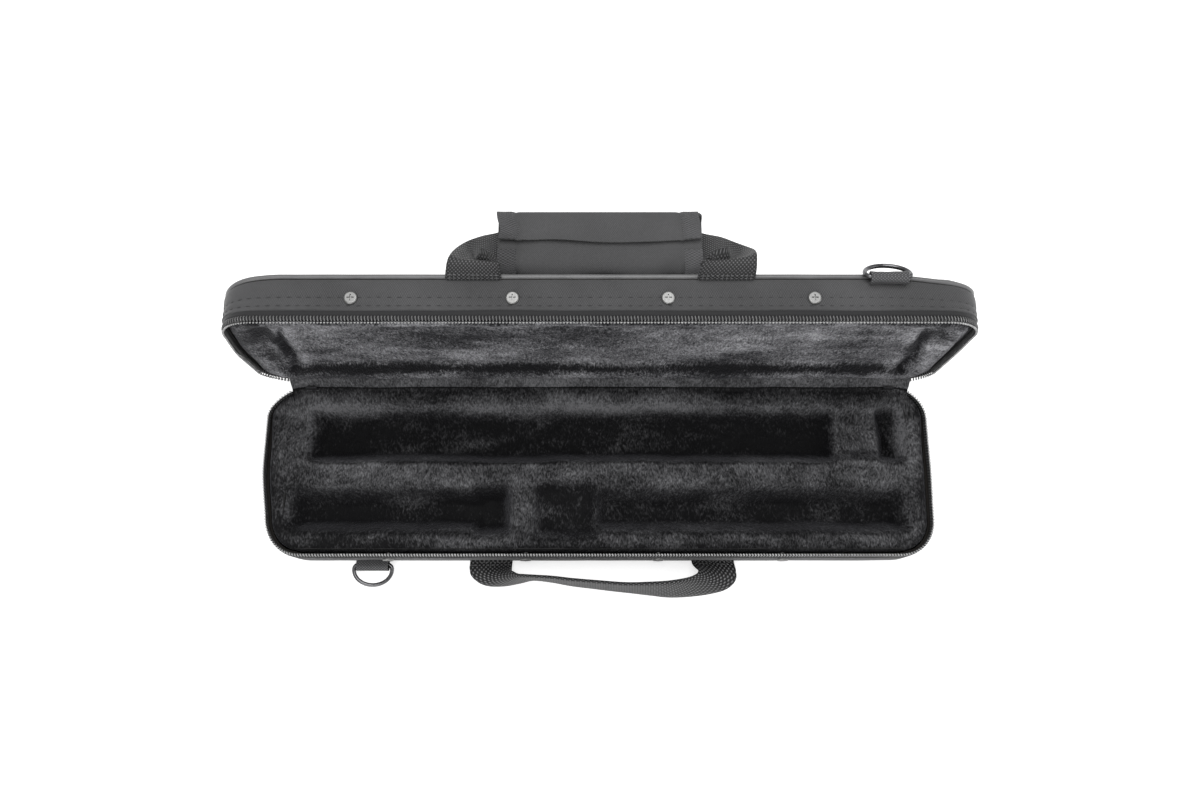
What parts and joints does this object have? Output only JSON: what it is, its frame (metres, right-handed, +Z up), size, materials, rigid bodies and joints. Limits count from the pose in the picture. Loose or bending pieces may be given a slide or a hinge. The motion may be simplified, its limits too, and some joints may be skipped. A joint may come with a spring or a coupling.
{
  "type": "flute case",
  "caption": "Slim zipped instrument case, open lid, plush wells for three joints, webbing handles, padded wrap and strap rings.",
  "frame": {"origin": "middle of the base's flat underside", "axes": "+X along the case to the right, +Y to the hinge at the back, +Z up; the lid stands open at rest"},
  "size_m": [0.405, 0.197, 0.1453],
  "materials": {
    "nylon_cover": "plain-woven nylon, matt with a slight sheen",
    "shell_board": "thin bent board, hidden under the cloth",
    "vinyl_piping": "smooth satin vinyl piping",
    "foam": "cut foam, hidden under the plush",
    "plush": "short brushed plush pile",
    "zip_tape": "fine woven tape",
    "zip_coil": "nylon coil, satin",
    "webbing": "heavy polypropylene webbing",
    "wrap_cloth": "padded woven nylon",
    "binding_tape": "ribbed binding tape",
    "hook_and_loop": "hook and loop tape",
    "ring_steel": "dark nickel-plated steel wire",
    "screw_steel": "nickel-plated steel",
    "zip_metal": "black lacquered zinc"
  },
  "bodies": {
    "base": {"base_shell": "shell_board", "base_side_cover": "nylon_cover", "base_bottom_panel": "nylon_cover", "base_piping": "vinyl_piping", "base_foam_insert": "foam", "base_plush_lining": "plush", "base_zip_tape": "zip_tape", "base_zip_coil": "zip_coil", "base_spine_strip": "nylon_cover", "base_screws": "screw_steel", "base_ring_tab": "webbing"},
    "base_ring": {"base_d_ring": "ring_steel"},
    "base_handle": {"base_handle_strap": "webbing"},
    "lid": {"lid_shell": "shell_board", "lid_side_cover": "nylon_cover", "lid_top_panel": "nylon_cover", "lid_piping": "vinyl_piping", "lid_foam_pad": "foam", "lid_plush_lining": "plush", "lid_zip_tape": "zip_tape", "lid_zip_coil": "zip_coil", "lid_spine_strip": "nylon_cover", "lid_screws": "screw_steel", "lid_ring_tab": "webbing"},
    "lid_ring": {"lid_d_ring": "ring_steel"},
    "lid_handle": {"lid_handle_strap": "webbing", "handle_wrap": "wrap_cloth", "wrap_loop_strip": "hook_and_loop", "wrap_end_bindings": "binding_tape"},
    "flap": {"wrap_flap": "wrap_cloth", "wrap_hook_strip": "hook_and_loop", "flap_end_bindings": "binding_tape"},
    "left_slider": {"left_zip_slider": "zip_metal"},
    "left_pull": {"left_zip_pull": "zip_metal"},
    "right_slider": {"right_zip_slider": "zip_metal"},
    "right_pull": {"right_zip_pull": "zip_metal"}
  },
  "joints": [
    {"name": "lid_hinge", "type": "hinge", "parent": "base", "child": "lid", "pos_m": [0, 0.05375, 0.0275], "axis": [1, 0, 0], "range_deg": [0, 91]},
    {"name": "base_ring_swing", "type": "hinge", "parent": "base", "child": "base_ring", "pos_m": [-0.141, -0.05615, 0.0036], "axis": [1, 0, 0], "range_deg": [-80, 75]},
    {"name": "base_handle_swing", "type": "hinge", "parent": "base", "child": "base_handle", "pos_m": [0, -0.0549, 0.0032], "axis": [1, 0, 0], "range_deg": [-25, 60]},
    {"name": "lid_ring_swing", "type": "hinge", "parent": "lid", "child": "lid_ring", "pos_m": [0.15, 0.07959, 0.13857], "axis": [1, 0, 0], "range_deg": [0, 215]},
    {"name": "lid_handle_swing", "type": "hinge", "parent": "lid", "child": "lid_handle", "pos_m": [0, 0.08024, 0.1357], "axis": [1, 0, 0], "range_deg": [-12, 120]},
    {"name": "wrap_flap_hinge", "type": "hinge", "parent": "lid_handle", "child": "flap", "pos_m": [0, 0.11854, 0.13243], "axis": [-1, 0, 0], "range_deg": [0, 150]},
    {"name": "left_slider_travel", "type": "hinge", "parent": "base", "child": "left_slider", "pos_m": [-0.1805, 0.03175, 0.0275], "axis": [0, 0, 1], "range_deg": [0, 90]},
    {"name": "right_slider_travel", "type": "hinge", "parent": "base", "child": "right_slider", "pos_m": [0.1805, 0.03175, 0.0275], "axis": [0, 0, -1], "range_deg": [0, 90]},
    {"name": "left_pull_swing", "type": "hinge", "parent": "left_slider", "child": "left_pull", "pos_m": [-0.1805, 0.0556, 0.0275], "axis": [1, 0, 0], "range_deg": [0, 70]},
    {"name": "right_pull_swing", "type": "hinge", "parent": "right_slider", "child": "right_pull", "pos_m": [0.1805, 0.0556, 0.0275], "axis": [1, 0, 0], "range_deg": [0, 70]}
  ]
}
